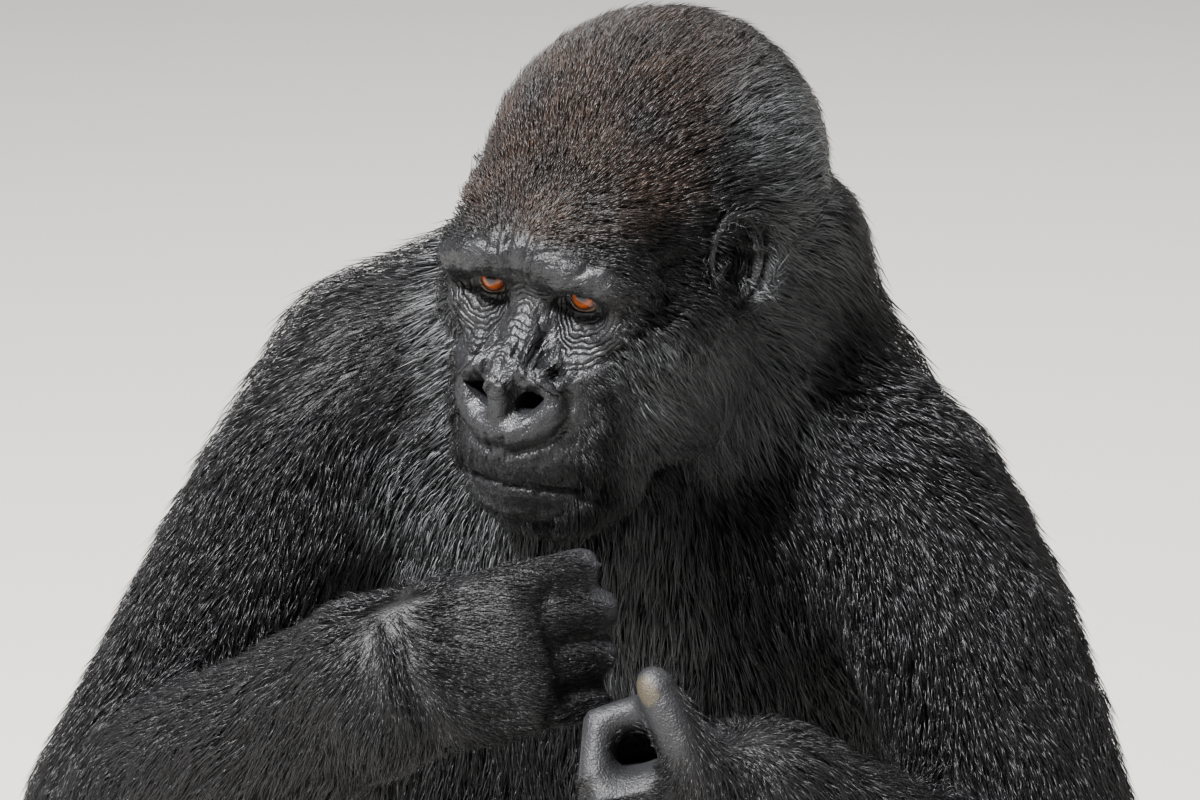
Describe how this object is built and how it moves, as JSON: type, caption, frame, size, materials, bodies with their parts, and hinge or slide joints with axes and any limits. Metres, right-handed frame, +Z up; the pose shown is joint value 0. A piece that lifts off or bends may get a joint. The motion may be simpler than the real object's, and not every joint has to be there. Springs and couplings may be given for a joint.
{
  "type": "gorilla",
  "caption": "Still life-size seated western lowland gorilla with folded legs, one fist held below the chin and the other hand beneath it.",
  "frame": {"origin": "on the floor, below the middle of the animal's bounding box", "axes": "+Z up, the chest faces -Y, the animal's left side is +X"},
  "size_m": [0.719, 0.8358, 0.7925],
  "materials": {
    "coat": "short glossy near-black hair with a silvery sheen",
    "crown_coat": "short dense brown hair of the crown, black at the sides",
    "bare_skin": "bare slate-black wrinkled skin, slightly oily",
    "eye": "wet eyeball with an orange-brown iris"
  },
  "bodies": {
    "root": {"big_toe_left": "bare_skin", "big_toe_right": "bare_skin", "ear_left": "bare_skin", "ear_right": "bare_skin", "eye_left": "eye", "eye_right": "eye", "foot_left": "bare_skin", "foot_right": "bare_skin", "forearm_left": "coat", "forearm_right": "coat", "hand_left": "bare_skin", "hand_right": "bare_skin", "head": "crown_coat", "index_finger_left": "bare_skin", "index_finger_right": "bare_skin", "little_finger_left": "bare_skin", "little_finger_right": "bare_skin", "middle_finger_left": "bare_skin", "middle_finger_right": "bare_skin", "neck": "coat", "ring_finger_left": "bare_skin", "ring_finger_right": "bare_skin", "shank_left": "coat", "shank_right": "coat", "thigh_left": "coat", "thigh_right": "coat", "thumb_left": "bare_skin", "thumb_right": "bare_skin", "trunk": "coat", "upper_arm_left": "coat", "upper_arm_right": "coat"}
  },
  "joints": []
}
